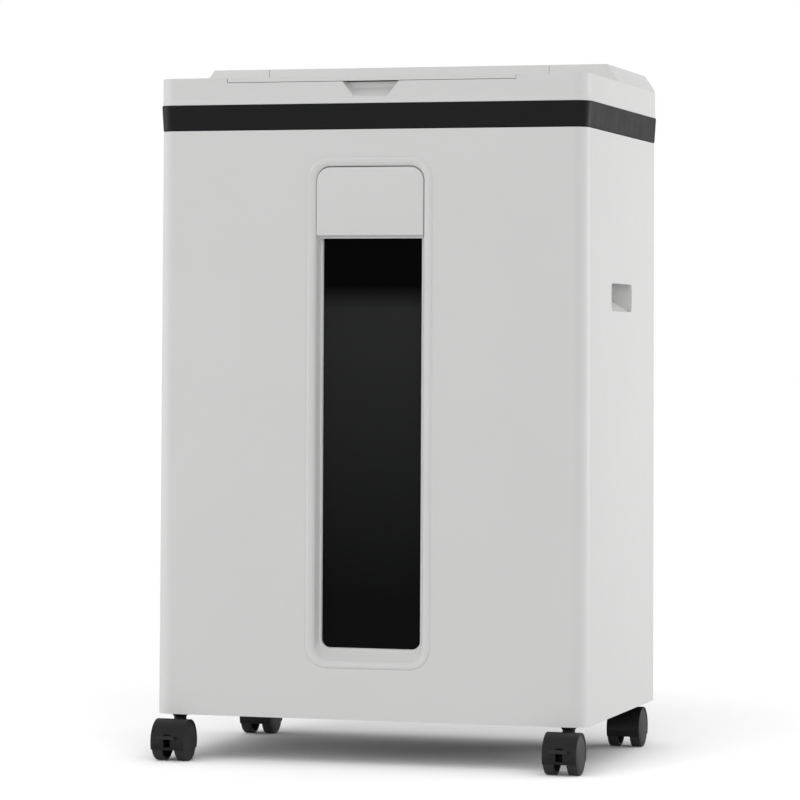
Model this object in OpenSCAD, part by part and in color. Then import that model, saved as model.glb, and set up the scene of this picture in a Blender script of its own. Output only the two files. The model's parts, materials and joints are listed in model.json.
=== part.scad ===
// Office paper shredder: cabinet on four twin-wheel casters, pull-out bin with a
// smoked window, cutting head with a stack tray under a hinged lid.
// Millimetres, +Z up, front towards -Y. The origin is on the floor.

/* [Cabinet] */
// Width of the cabinet
cab_w = 427; // [424:1:440]
// Depth of the cabinet
cab_d = 300; // [298:1:310]
// Height of the cabinet up to the black band
cab_h = 565; // [560:1:600]
// Radius of the front upright corners
corner_r = 15; // [13:1:18]
// Radius of the rear upright corners
rear_r = 8; // [7:1:12]
// Wall thickness of the moulded panels
wall = 3; // [2.5:0.5:3]
// Depth of the pull-out front panel, seen from the side
front_depth = 16; // [16:1:20]

/* [Head] */
// Height of the black band
band_h = 25; // [20:1:30]
// How far the band stands proud of the panels
band_proud = 1.2; // [0.8:0.2:2]
// Height of the white wall above the band
head_wall_h = 26; // [24:1:30]
// Rise of the raised platform above the front ledge
platform_rise = 17.5; // [15:0.5:20]
// Depth of the front ledge
ledge_d = 127; // [120:1:130]
// Run of the step between the ledge and the platform
slope_run = 3; // [2:0.5:5]
// Run of the slopes on the platform's two sides
side_run = 11.75; // [9:0.25:14]
// Half width of the lid
lid_half = 143.5; // [140:0.5:145]

/* [Window] */
// Half width of the recess in the front panel
recess_half = 54; // [50:1:58]
// Width of the raised bead around the recess
bead_w = 7; // [5:0.5:9]
// Lowest point of the recess above the cabinet's underside
recess_low = 57; // [50:1:65]
// Highest point of the recess above the cabinet's underside
recess_high = 530; // [520:1:540]
// Depth of the recess down to the window
recess_deep = 12.7; // [11:0.1:12.7]
// Bottom edge of the grip above the cabinet's underside
grip_low = 463.5; // [450:0.5:470]

/* [Cutters] */
// Distance between the two cutting shafts
cutter_gap = 33; // [33:1:33]
// Radius of the cutting discs
disc_r = 18.5; // [18:0.1:18.5]
// Spacing of the discs along a shaft
disc_pitch = 5; // [5:0.5:6]
// Thickness of a disc
disc_t = 2.2; // [1.8:0.1:2.2]
// Gear module
gear_m = 1.5; // [1.5:0.5:1.5]

/* [Casters] */
// Radius of a caster wheel
wheel_r = 19.25; // [18:0.25:19.5]
// Thickness of a caster wheel
wheel_t = 10.5; // [9:0.5:11]
// Distance between the middles of a caster's two wheels
wheel_gap = 23; // [22.5:0.5:24]
// Distance from the swivel stem forward to the axle
trail = 18.5; // [18:0.5:20]
// Height of the cabinet's underside above the floor
under_z = 44.5; // [44:0.5:50]
// Half the distance between the stems from side to side
stem_x = 194.7; // [190:0.1:196]
// Half the distance between the stems from front to back
stem_y = 134.2; // [130:0.1:134.2]

/* [Hidden] */
$fn = 64;
soft_fn = 32;

white = [0.90, 0.90, 0.89];
black = [0.09, 0.09, 0.10];
grey = [0.45, 0.46, 0.48];
steel = [0.70, 0.71, 0.73];
bronze = [0.72, 0.55, 0.33];
zinc = [0.78, 0.79, 0.80];

fit = 0.05;     // radial play of a shaft in its bush
gap = 0.4;      // seam between two panels

// The brake pedals reach furthest forward and the band furthest back, so the
// cabinet stands a little behind the middle of the whole object.
pedal_reach = 26;
cab_y = (stem_y + trail + pedal_reach - cab_d / 2 - band_proud) / 2;
front_y = cab_y - cab_d / 2;
back_y = cab_y + cab_d / 2;
seam_y = front_y + front_depth;
half_w = cab_w / 2;

band_z = under_z + cab_h;
head_z = band_z + band_h;
ledge_z = head_z + head_wall_h;
top_z = ledge_z + platform_rise;

// Lid hinge: the lid ends in a barrel that turns inside the head cover's edge.
barrel_r = 7.5;
hinge_y = cab_y + 118;
hinge_z = top_z - barrel_r;
hinge_pin_r = 2.5;
lid_lip = 4.5;
lid_slot_y = cab_y + 6;
lid_t = 3;
platform_front_y = front_y + ledge_d + slope_run;
platform_back_y = back_y - 2;
platform_half = half_w - side_run;

// Stack tray: a trough with its axis along X.
tray_half = 118;
tray_chord = 130;
tray_sag = 62;
tray_r = (tray_chord * tray_chord + tray_sag * tray_sag) / (2 * tray_sag);
rim_z = ledge_z - 4;
rim_t = 2.5;
tray_z = rim_z - rim_t - tray_sag;
throat_half = 8;
throat_low = tray_z - 30;

// Cutting block
deck_z = 490;
deck_t = 3;
deck_top = deck_z + deck_t;
cutter_z = tray_z - 52;
front_cut_y = cab_y - cutter_gap / 2;
rear_cut_y = cab_y + cutter_gap / 2;
spacer_r = 12.5;
journal_r = 8;
disc_count = floor(230 / disc_pitch);
plate_x = 121.5;
plate_t = 3;
bush_len = 6;
bush_wall = 3;

// Gear planes, counted outwards from the left side plate
gear_t = 8;
sync_x = -plate_x - plate_t - 3 - gear_t;
drive_x = sync_x - 2 - gear_t;
big_t = 7;
big_x = drive_x - 2 - big_t;

sync_n = 22;
idler_n = 14;
feed_n = 16;
drive_n = 48;
small_n = 16;
big_n = 44;
pinion_n = 14;
function pitch_r(n) = n * gear_m / 2;

feed_r = 13.5;
feed_shaft_r = 4;
feed_y = cab_y - 28;
feed_z = tray_z - 8;

// Where two circles about a and b cross, on the left of the line from a to b
function crossing(a, ra, b, rb) =
    let (d = norm(b - a), u = (b - a) / d, s = (d * d + ra * ra - rb * rb) / (2 * d),
         h = sqrt(ra * ra - s * s))
    a + u * s + [-u[1], u[0]] * h;
idler_at = crossing([front_cut_y, cutter_z], pitch_r(sync_n) + pitch_r(idler_n),
                    [feed_y, feed_z], pitch_r(idler_n) + pitch_r(feed_n));

reduction_dir = 10;
reduction_y = rear_cut_y + (pitch_r(drive_n) + pitch_r(small_n)) * cos(reduction_dir);
reduction_z = cutter_z + (pitch_r(drive_n) + pitch_r(small_n)) * sin(reduction_dir);
reduction_r = 5;
motor_dir = -15;
motor_y = reduction_y + (pitch_r(big_n) + pitch_r(pinion_n)) * cos(motor_dir);
motor_z = reduction_z + (pitch_r(big_n) + pitch_r(pinion_n)) * sin(motor_dir);
motor_r = 33;
motor_shaft_r = 5;

// The angle a gear has to start at to mesh with its partner. dir is the
// direction from gear 1 to gear 2.
function mesh(n1, start1, n2, dir) =
    dir + 180 - 180 / n2 - n1 / n2 * (start1 - dir);
idler_dir1 = atan2(idler_at[1] - cutter_z, idler_at[0] - front_cut_y);
idler_dir2 = atan2(feed_z - idler_at[1], feed_y - idler_at[0]);
rear_start = mesh(sync_n, 0, sync_n, 0);
idler_start = mesh(sync_n, 0, idler_n, idler_dir1);
feed_start = mesh(idler_n, idler_start, feed_n, idler_dir2);
small_start = mesh(drive_n, 0, small_n, reduction_dir);
pinion_start = mesh(big_n, 0, pinion_n, motor_dir);

// Control panel on the right of the platform
panel_x = 175;
panel_w = 42;
panel_y = cab_y + 59;
panel_l = 126;
button_r = 6.5;
button_play = 0.3;
button_step = 24;
board_z = top_z - 14;
board_t = 1.6;

// Power inlet and switch, high on the back
inlet_x = -140;
inlet_z = 556;

// Bin
tub_half = 178;
tub_low = under_z + 7;
tub_high = deck_z - 7;
tub_wall = 2.5;
window_y = front_y + recess_deep;
window_t = 2.5;
tub_front = window_y + window_t + 0.5;
tub_back = back_y - 12;

// Hand-holds, level with the middle of the cabinet's depth
hold_half = 44;
hold_low = under_z + 393;
hold_h = 27;

boss_r = 9;
stem_r = 5;
axle_r = 3;
hood_in = wheel_r + 0.4;
hood_out = hood_in + 1.35;
arm_half = 3;
brake_y = -9;
brake_z = 4;

// ---------------------------------------------------------------- shapes

module round_rect(w, d, r) {
    square([w - 2 * r, d], center = true);
    square([w, d - 2 * r], center = true);
    for (sx = [-1, 1], sy = [-1, 1])
        translate([sx * (w / 2 - r), sy * (d / 2 - r)]) circle(r);
}

// Outline of the cabinet from above, moved in by inset
module plan(inset = 0) {
    x = half_w - inset;
    y = cab_d / 2 - inset;
    front = corner_r - inset;
    rear = rear_r - inset;
    translate([0, cab_y]) {
        translate([-x, -y + front]) square([2 * x, 2 * y - front - rear]);
        translate([-x + front, -y]) square([2 * (x - front), y]);
        translate([-x + rear, 0]) square([2 * (x - rear), y]);
        for (sx = [-1, 1]) {
            translate([sx * (x - front), -y + front]) circle(front);
            translate([sx * (x - rear), y - rear]) circle(rear);
        }
    }
}

module block(low, high) {
    translate(low) cube(high - low);
}

// A shape drawn in the YZ plane and pulled along X
module along_x(x0, x1) {
    translate([x0, 0, 0]) rotate([90, 0, 90]) linear_extrude(x1 - x0) children();
}

// A shape drawn in the XZ plane and pulled along Y
module along_y(y0, y1) {
    translate([0, y1, 0]) rotate([90, 0, 0]) linear_extrude(y1 - y0) children();
}

module rod(x0, x1, y, z, r) {
    translate([x0, y, z]) rotate([0, 90, 0]) cylinder(h = x1 - x0, r = r);
}

module post(x, y, z0, z1, r) {
    translate([x, y, z0]) cylinder(h = z1 - z0, r = r);
}

module both_sides() {
    children();
    mirror([1, 0, 0]) children();
}

// ---------------------------------------------------------------- gears

function inv(a) = tan(a) * 180 / PI - a;
pressure = 20;
backlash = 0.09;

function half_tooth(r, n) =
    let (base = pitch_r(n) * cos(pressure), a = r > base ? acos(base / r) : 0)
    90 / n - backlash / pitch_r(n) * 180 / PI + inv(pressure) - inv(a);

function gear_points(n, start) =
    let (pr = pitch_r(n), tip = pr + 0.95 * gear_m, root = pr - 1.3 * gear_m,
         base = max(pr * cos(pressure), root + 0.1),
         radii = [root, base, (base + pr) / 2, pr, (pr + tip) / 2, tip],
         last = len(radii) - 1)
    [for (k = [0 : n - 1], side = [-1, 1], i = [0 : last])
        let (r = radii[side < 0 ? i : last - i],
             a = start + k * 360 / n + side * half_tooth(r, n))
        r * [cos(a), sin(a)]];

module gear(n, start, x, t, y, z, bore) {
    along_x(x, x + t) translate([y, z]) difference() {
        polygon(gear_points(n, start));
        circle(bore);
    }
}

module web_holes(x, t, y, z, count, at, r) {
    for (k = [0 : count - 1])
        rod(x - 1, x + t + 1, y + at * cos(k * 360 / count + 30),
            z + at * sin(k * 360 / count + 30), r);
}

// ---------------------------------------------------------------- cabinet

lap_x = 180;
pan_t = 3;
pan_play = 0.7;     // between the pan's tongue and the bin's front panel
socket_h = 34;
module base_pan() color(black) translate([0, 0, under_z]) {
    difference() {
        union() {
            linear_extrude(pan_t) intersection() {
                plan(wall);
                union() {
                    translate([-half_w, seam_y + gap])
                        square([cab_w, cab_d - front_depth - 2 * wall - gap]);
                    translate([-lap_x + gap, seam_y + gap])
                        square([2 * (lap_x - gap), cab_d - front_depth - wall - gap]);
                }
            }
            // tongue inside the bin's front panel
            linear_extrude(pan_t) intersection() {
                plan(wall + pan_play);
                translate([-half_w, front_y]) square([cab_w, front_depth + 2]);
            }
            for (sx = [-1, 1], sy = [-1, 1])
                post(sx * stem_x, cab_y + sy * stem_y, 0, socket_h, boss_r);
            for (x = [-90, 0, 90])
                block([x - 1, seam_y + 20, 0], [x + 1, back_y - 20, pan_t + 3]);
        }
        for (sx = [-1, 1], sy = [-1, 1])
            post(sx * stem_x, cab_y + sy * stem_y, -1, socket_h - 2, stem_r + fit);
    }
}

module side_panel() color(white) difference() {
    union() {
        translate([0, 0, under_z]) linear_extrude(cab_h) {
            intersection() {
                difference() {
                    plan();
                    plan(wall);
                }
                translate([half_w - corner_r, seam_y]) square([corner_r + 1, cab_d]);
            }
            // lap behind the back panel
            translate([lap_x, back_y - 2 * wall]) square([21, wall]);
            translate([half_w - corner_r, back_y - 2 * wall])
                square([2.5, wall + 0.4]);
        }
        // flange along the front edge
        block([half_w - 7.5, seam_y, under_z + 3.4], [half_w - 1, seam_y + 2.5, band_z]);
    }
    along_x(half_w - 40, half_w + 1)
        translate([cab_y, hold_low + hold_h / 2]) round_rect(2 * hold_half, hold_h, 5);
    for (z = screw_levels)
        hole_y(screw_x, z, back_y - 2 * wall - 1, back_y, screw_r);
}

screw_x = 190;
screw_r = 2;
screw_head_r = 4;
screw_sink = 1.4;
flange_t = 1.3;
flush = 0.1;    // screw heads and the inlet stay this far under the back face
screw_levels = [under_z + socket_h + 8, under_z + 282, under_z + 535];

// A hole or a stud along Y
module hole_y(x, z, y0, y1, r) {
    translate([x, y0, z]) rotate([-90, 0, 0]) cylinder(h = y1 - y0, r = r);
}

module right_side_panel() side_panel();
module left_side_panel() mirror([1, 0, 0]) side_panel();

module back_panel() color(white) difference() {
    block([-half_w + corner_r + 0.3, back_y - wall, under_z],
          [half_w - corner_r - 0.3, back_y, band_z]);
    for (sx = [-1, 1], z = screw_levels) {
        hole_y(sx * screw_x, z, back_y - wall - 1, back_y + 1, screw_r);
        hole_y(sx * screw_x, z, back_y - screw_sink - 0.1, back_y + 1, screw_head_r + 0.3);
    }
    // cooling slots beside the motor
    for (k = [0 : 7])
        block([40, back_y - wall - 1, 515 + 10 * k], [130, back_y + 1, 519 + 10 * k]);
    block([inlet_x - 15.2, back_y - wall - 1, inlet_z - 27.2],
          [inlet_x + 15.2, back_y + 1, inlet_z + 27.2]);
    // seat of the inlet's flange
    block([inlet_x - 19.3, back_y - flange_t - 0.1, inlet_z - 31.3],
          [inlet_x + 19.3, back_y + 1, inlet_z + 31.3]);
}

module panel_screws() color(zinc)
    for (sx = [-1, 1], z = screw_levels) {
        hole_y(sx * screw_x, z, back_y - 10, back_y - screw_sink, screw_r);
        hole_y(sx * screw_x, z, back_y - screw_sink, back_y - flush, screw_head_r);
    }

// Moulded pockets behind the side openings. The floor climbs inwards and the
// roof leaves room for fingers to hook over the panel's edge.
pocket_t = 2.5;
module hand_hold() {
    inner = half_w - wall;
    low = hold_low;
    high = hold_low + hold_h;
    difference() {
        along_y(cab_y - hold_half - pocket_t, cab_y + hold_half + pocket_t)
            polygon([[inner, low - pocket_t], [inner, high + 13], [inner - 26, high + 13],
                     [inner - 26, low + 13]]);
        along_y(cab_y - hold_half, cab_y + hold_half)
            polygon([[inner + 1, low - 0.65], [inner + 1, high + 4],
                     [inner - 3, high + 13 - pocket_t],
                     [inner - 26 + pocket_t, high + 13 - pocket_t],
                     [inner - 26 + pocket_t, low + 15.3]]);
    }
}
module hand_holds() color(white) both_sides() hand_hold();

module machine_deck() color(steel) {
    edge_y = seam_y + 4;
    difference() {
        block([-half_w + wall, edge_y, deck_z], [half_w - wall, back_y - 2 * wall, deck_top]);
        block([-117, cab_y - 36, deck_z - 1], [117, cab_y + 36, deck_top + 1]);
        // room for the rounded rear corners
        for (sx = [-1, 1])
            translate([sx * half_w, back_y, deck_z - 1])
                rotate(45) cube([26, 26, 20], center = true);
    }
    // upturned front edge, with a window for the bin switch's plunger
    difference() {
        block([-half_w + wall, edge_y, deck_top], [half_w - wall, edge_y + 2.5, deck_top + 40]);
        block([bin_switch_x - 5, edge_y - 1, deck_top + 6],
              [bin_switch_x + 5, edge_y + 4, deck_top + 15]);
    }
}

module trim_band() color(black) translate([0, 0, band_z]) difference() {
    linear_extrude(band_h) plan(-band_proud);
    translate([0, 0, -1]) linear_extrude(band_h + 2) plan(4);
}

module bin_runners() color(grey)
    both_sides() block([145, seam_y + 10, under_z + 3], [157, back_y - 20, tub_low - 0.4]);

// ---------------------------------------------------------------- head

// Outline of the head from the side and from the front, moved in by o
module head_side(o) {
    front_turn = tan(atan2(platform_rise, slope_run) / 2);
    back_turn = tan(atan2(platform_rise, back_y - platform_back_y) / 2);
    back_slope = platform_rise / (back_y - platform_back_y);
    polygon([
        [front_y + o, head_z - (o > 0 ? 1 : 0)],
        [front_y + o, ledge_z - o],
        [front_y + ledge_d + o * front_turn, ledge_z - o],
        [platform_front_y + o * front_turn, top_z - o],
        [platform_back_y - o * back_turn, top_z - o],
        [back_y - o, ledge_z - o + back_slope * o * (1 - back_turn)],
        [back_y - o, head_z - (o > 0 ? 1 : 0)]
    ]);
}

module head_front(o) {
    turn = tan(atan2(platform_rise, half_w - platform_half) / 2);
    slope = platform_rise / (half_w - platform_half);
    x0 = half_w - o;
    x1 = platform_half - o * turn;
    polygon([
        [-x0, head_z - 2], [-x0, top_z - o - slope * (x0 - x1)], [-x1, top_z - o],
        [x1, top_z - o], [x0, top_z - o - slope * (x0 - x1)], [x0, head_z - 2]
    ]);
}

module head_solid(o) intersection() {
    along_x(-half_w, half_w) head_side(o);
    along_y(front_y, back_y) head_front(o);
    translate([0, 0, head_z - 2]) linear_extrude(100) plan(o);
}

notch_top = ledge_z - lid_lip - 0.9;
notch_low = head_z + 6.5;
notch_deep = 12;
// Outline of the notch: half widths at the top and the bottom, and the bottom's height
module notch_outline(top_half, low_half, low) {
    polygon([[-top_half, notch_top + 2], [top_half, notch_top + 2], [top_half, notch_top],
             [low_half, low], [-low_half, low], [-top_half, notch_top]]);
}
// A scoop that is deepest under the lid's lip
module notch(grow, y0) hull() {
    along_y(y0, front_y + 0.1) notch_outline(28 + grow, 16.5 + grow, notch_low - grow);
    along_y(front_y + notch_deep + grow - 0.5, front_y + notch_deep + grow)
        notch_outline(25 + grow, 20 + grow, notch_low + 9 - grow);
}

lid_room = lid_half + 0.4;
skirt_t = 2.5;
skirt_back = hinge_y + barrel_r + 0.7;

module head_cover() color(white) difference() {
    union() {
        difference() {
            head_solid(0);
            head_solid(wall);
        }
        intersection() {
            head_solid(0);
            union() {
                // skirts beside and behind the lid
                both_sides() block([lid_room, front_y + 1, rim_z],
                                   [lid_room + skirt_t, skirt_back + skirt_t, top_z]);
                block([-lid_room, skirt_back, rim_z],
                      [lid_room, skirt_back + skirt_t, top_z]);
                // ears that hold the hinge pins
                both_sides() block([lid_room, hinge_y - 7, hinge_z - 8],
                                   [lid_room + 8, hinge_y + 7, top_z]);
                // posts for the control board
                for (sy = [-1, 1], x = [panel_x - 19, panel_x + 19])
                    post(x, panel_y + sy * 68.5, board_z + board_t, top_z - 1, 2.5);
                // pocket under the lid's front edge
                notch(2, front_y);
            }
        }
    }
    // the space the lid fills
    block([-lid_room, front_y - 1, ledge_z - lid_lip - 0.4],
          [lid_room, skirt_back, top_z + 1]);
    notch(0, front_y - 1);
    // the control panel's place
    block([panel_x - panel_w / 2 - 0.2, panel_y - panel_l / 2 - 0.2, top_z - wall - 2],
          [panel_x + panel_w / 2 + 0.2, panel_y + panel_l / 2 + 0.2, top_z + 1]);
    both_sides() rod(lid_room - 1, lid_room + 9, hinge_y, hinge_z, hinge_pin_r);
}

module lid_hinge_pins() color(zinc)
    both_sides() rod(lid_half - 11, lid_room + 8, hinge_y, hinge_z, hinge_pin_r);

module lid() color(white) difference() {
    union() {
        intersection() {
            difference() {
                head_solid(0);
                difference() {
                    head_solid(lid_t);
                    block([-half_w, hinge_y, head_z - 3], [half_w, back_y, top_z]);
                }
            }
            union() {
                block([-lid_half, front_y, ledge_z - lid_t - 1],
                      [lid_half, hinge_y, top_z + 1]);
                block([-lid_half, front_y, ledge_z - lid_lip],
                      [lid_half, front_y + 5, top_z + 1]);
            }
        }
        rod(-lid_half, lid_half, hinge_y, hinge_z, barrel_r);
        // stiffening ribs under the platform
        for (x = [-126, 126])
            along_x(x - 1, x + 1) polygon([
                [platform_front_y + 1, ledge_z + 2],
                [platform_front_y + 1, top_z - lid_t + 0.5],
                [hinge_y - 2, top_z - lid_t + 0.5], [hinge_y - 2, top_z - lid_t - 6],
                [platform_front_y + 14, top_z - lid_t - 6]]);
        // funnel walls under the feed slot
        block([-119, lid_slot_y - 8, top_z - 14], [119, lid_slot_y + 8, top_z - 1]);
    }
    // feed slot for single sheets
    block([-116, lid_slot_y - 5.5, top_z - 15], [116, lid_slot_y + 5.5, top_z + 1]);
    both_sides() rod(lid_half - 12, lid_half + 1, hinge_y, hinge_z, hinge_pin_r + fit);
}

module stack_tray() color(grey) difference() {
    union() {
        intersection() {
            rod(-tray_half - 2.5, tray_half + 2.5, cab_y, tray_z + tray_r, tray_r + 2.5);
            block([-half_w, cab_y - tray_chord - 3, tray_z - 5],
                  [half_w, cab_y + tray_chord + 1, rim_z]);
        }
        // rim that the head cover's skirts stand on
        block([-lid_room - 6, cab_y - tray_chord - 3, rim_z - rim_t],
              [lid_room + 6, cab_y + tray_chord + 1, rim_z]);
        // throat
        block([-tray_half, cab_y - throat_half - 2, throat_low],
              [tray_half, cab_y + throat_half + 2, tray_z + 0.3]);
    }
    rod(-tray_half, tray_half, cab_y, tray_z + tray_r, tray_r);
    block([-tray_half + 2, cab_y - throat_half, throat_low - 1],
          [tray_half - 2, cab_y + throat_half, tray_z + 10]);
    // windows for the feed rollers
    for (x = feed_at)
        rod(x - 17, x + 17, feed_y, feed_z, feed_r + 1.2);
    // hole for the lid switch's plunger
    translate([lid_switch_x, lid_switch_y, rim_z - 5]) cube([4, 5, 20], center = true);
}

// ---------------------------------------------------------------- controls

module control_panel() color(black) difference() {
    union() {
        block([panel_x - panel_w / 2, panel_y - panel_l / 2, top_z - wall],
              [panel_x + panel_w / 2, panel_y + panel_l / 2, top_z]);
        block([panel_x - panel_w / 2 - 2, panel_y - panel_l / 2 - 2, top_z - wall - 1.5],
              [panel_x + panel_w / 2 + 2, panel_y + panel_l / 2 + 2, top_z - wall]);
    }
    for (k = [0 : 2]) {
        post(panel_x, button_y(k), top_z - 6, top_z + 1, button_r + button_play);
        post(panel_x, button_y(k), top_z - 6, top_z - wall, button_r + 2);
    }
    block([panel_x - 4, panel_y - 52, top_z - 6], [panel_x + 4, panel_y - 22, top_z + 1]);
}
function button_y(k) = panel_y + button_step * (k - 0.25);

module indicator_lens() color([0.55, 0.75, 0.85])
    block([panel_x - 4, panel_y - 52, top_z - 4.5], [panel_x + 4, panel_y - 22, top_z - 0.2]);

button_foot = board_z + board_t + 4.9;
module button(k) {
    post(panel_x, button_y(k), button_foot, top_z + 0.9, button_r);
    // collar that stops under the panel
    post(panel_x, button_y(k), top_z - wall - 1.3, top_z - wall - 0.1, button_r + 1.5);
}
module start_button() color([0.25, 0.6, 0.35]) button(2);
module reverse_button() color(grey) button(1);
module stop_button() color([0.75, 0.2, 0.18]) button(0);

module control_board() color([0.12, 0.35, 0.2]) {
    block([panel_x - 23, panel_y - 72, board_z], [panel_x + 23, panel_y + 72, board_z + board_t]);
    for (k = [0 : 2])
        block([panel_x - 3, button_y(k) - 3, board_z + board_t],
              [panel_x + 3, button_y(k) + 3, board_z + board_t + 3.5]);
    block([panel_x - 5, panel_y - 50, board_z + board_t],
          [panel_x + 5, panel_y - 24, board_z + board_t + 2]);
}

rocker_z = inlet_z + 15;
module power_inlet() color(black) {
    difference() {
        union() {
            block([inlet_x - 15, back_y - 24, inlet_z - 27],
                  [inlet_x + 15, back_y - flush, inlet_z + 27]);
            block([inlet_x - 19, back_y - flange_t, inlet_z - 31],
                  [inlet_x + 19, back_y - flush, inlet_z + 31]);
        }
        // socket
        block([inlet_x - 12.5, back_y - 18, inlet_z - 23], [inlet_x + 12.5, back_y + 2, inlet_z - 3]);
        // switch opening
        block([inlet_x - 9.5, back_y - 14, rocker_z - 8], [inlet_x + 9.5, back_y + 2, rocker_z + 8]);
        rod(inlet_x - 12, inlet_x + 12, back_y - 5, rocker_z, 1.5);
    }
    for (x = [-6, 0, 6])
        block([inlet_x + x - 1, back_y - 19, inlet_z - (x == 0 ? 12 : 17)],
              [inlet_x + x + 1, back_y - 6, inlet_z - (x == 0 ? 8 : 13)]);
}

rocker_tilt = 9;
module power_rocker() color([0.6, 0.1, 0.1])
    translate([inlet_x, back_y - 5, rocker_z]) rotate([rocker_tilt, 0, 0]) {
        along_x(-9, 9) polygon([[-5, -4], [0, -6.5], [3.6, -6.7], [2.6, 0], [3.6, 6.7],
                                [0, 6.5], [-5, 4]]);
        rod(-11.8, 11.8, 0, 0, 1.5 - fit);
    }

// Two switches: one on the deck, pressed by a rib on the bin's front panel, and
// one under the tray's rim, pressed by the lid.
bin_switch_x = -165;
lid_switch_x = -132;
lid_switch_y = front_y + 60;
module interlock_switches() color(black) {
    translate([bin_switch_x, seam_y + 13, deck_top]) {
        block([-10, -5, 0], [10, 5, 16]);
        block([-2, -10, 9], [2, -5, 12]);
    }
    translate([lid_switch_x, lid_switch_y, rim_z - rim_t]) {
        block([-5, -10, -16], [5, 10, 0]);
        block([-1.5, -2, 0], [1.5, 2, rim_t + 0.8]);
    }
}

// ---------------------------------------------------------------- cutting block

module motor() color(grey) difference() {
    union() {
        rod(-plate_x, -plate_x + 6, motor_y, motor_z, 20);
        rod(-plate_x + 6, -plate_x + 12, motor_y, motor_z, motor_r - 3);
        rod(-plate_x + 12, 4, motor_y, motor_z, motor_r);
        rod(4, 12, motor_y, motor_z, motor_r - 5);
        // terminal box
        block([-70, motor_y - 14, motor_z + 25], [-30, motor_y + 14, motor_z + motor_r + 10]);
        // foot on the deck
        block([-90, motor_y - 18, deck_top], [-20, motor_y + 18, motor_z - 20]);
    }
    rod(-plate_x - 1, -plate_x + 24, motor_y, motor_z, motor_shaft_r + fit);
}

function bush_holes() = [
    // y, z, bore radius
    [front_cut_y, cutter_z, journal_r],
    [rear_cut_y, cutter_z, journal_r],
    [feed_y, feed_z, feed_shaft_r]
];
function left_bush_holes() = concat(bush_holes(), [
    [idler_at[0], idler_at[1], feed_shaft_r],
    [reduction_y, reduction_z, reduction_r]
]);

module side_plate(x, y1, holes) difference() {
    union() {
        block([x, cab_y - 52, deck_top], [x + plate_t, y1, feed_z + 16]);
        // foot turned outwards along the deck
        block([x - (x < 0 ? 10 : 0), cab_y - 52, deck_top],
              [x + (x < 0 ? plate_t : plate_t + 10), y1, deck_top + 3]);
    }
    for (h = holes) rod(x - 1, x + plate_t + 1, h[0], h[1], h[2] + fit + bush_wall);
    rod(x - 1, x + plate_t + 1, motor_y, motor_z, motor_shaft_r + 3);
}
module cutter_side_plates() color(steel) {
    side_plate(-plate_x - plate_t, back_y - 12, left_bush_holes());
    side_plate(plate_x, cab_y + 52, bush_holes());
}

module bush(x, h) difference() {
    rod(x, x + bush_len, h[0], h[1], h[2] + fit + bush_wall);
    rod(x - 1, x + bush_len + 1, h[0], h[1], h[2] + fit);
}
module shaft_bushes() color(bronze) {
    for (h = left_bush_holes()) bush(-plate_x - plate_t - 2, h);
    for (h = bush_holes()) bush(plate_x - 1, h);
}

rod_at = [[-44, 505], [44, 505], [-44, 568], [44, 584]];
module tie_rods() color(zinc)
    for (p = rod_at) rod(-plate_x, plate_x, cab_y + p[0], p[1], 4);

comb_gap = 0.5;
function comb_points(shaft_y, out, shift) =
    let (root = shaft_y + out * 30, tip = shaft_y + out * (spacer_r + comb_gap),
         bar = shaft_y + out * 24, finger = 0.9)
    concat(
        [[-plate_x, root], [-plate_x, bar]],
        [for (k = [0 : disc_count - 2], j = [0 : 3])
            let (x = disc_at(k, shift) + disc_pitch / 2)
            [x + (j < 2 ? -finger : finger), j == 0 || j == 3 ? bar : tip]],
        [[plate_x, bar], [plate_x, root]]);
function disc_at(k, shift) = (k - (disc_count - 1) / 2) * disc_pitch + shift;
disc_shift = disc_pitch / 4;

module stripper_combs() color(steel) translate([0, 0, cutter_z - 2]) linear_extrude(4) {
    polygon(comb_points(front_cut_y, -1, -disc_shift));
    polygon(comb_points(rear_cut_y, 1, disc_shift));
}

function cutter_profile(shift, left_end) = concat(
    [[0, left_end], [journal_r, left_end], [journal_r, -plate_x + 3.5],
     [spacer_r, -plate_x + 3.5]],
    [for (k = [0 : disc_count - 1], j = [0 : 3])
        [j == 0 || j == 3 ? spacer_r : disc_r,
         disc_at(k, shift) + (j < 2 ? -disc_t / 2 : disc_t / 2)]],
    [[spacer_r, plate_x - 3.5], [journal_r, plate_x - 3.5],
     [journal_r, plate_x + 8], [0, plate_x + 8]]);

module cutter(y, shift, left_end)
    translate([0, y, cutter_z]) rotate([0, 90, 0])
        rotate_extrude($fn = 96) polygon(cutter_profile(shift, left_end));

module front_cutter() color(steel) cutter(front_cut_y, -disc_shift, sync_x);
module rear_cutter() color(steel) cutter(rear_cut_y, disc_shift, drive_x);

module front_sync_gear() color(steel)
    gear(sync_n, 0, sync_x, gear_t, front_cut_y, cutter_z, journal_r);
module rear_sync_gear() color(steel)
    gear(sync_n, rear_start, sync_x, gear_t, rear_cut_y, cutter_z, journal_r);

module drive_gear() color(grey) difference() {
    gear(drive_n, 0, drive_x, gear_t, rear_cut_y, cutter_z, journal_r);
    web_holes(drive_x, gear_t, rear_cut_y, cutter_z, 6, 21, 6);
}

module reduction_gear() color(grey) difference() {
    union() {
        gear(small_n, small_start, drive_x - 2, gear_t + 2, reduction_y, reduction_z, 3);
        gear(big_n, 0, big_x, big_t, reduction_y, reduction_z, 3);
        rod(big_x, -plate_x + 1.5, reduction_y, reduction_z, reduction_r);
    }
    web_holes(big_x, big_t, reduction_y, reduction_z, 6, 20, 5);
}

module motor_pinion() color(steel) {
    gear(pinion_n, pinion_start, big_x, big_t, motor_y, motor_z, 3);
    rod(big_x, -plate_x + 20, motor_y, motor_z, motor_shaft_r);
}

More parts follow.
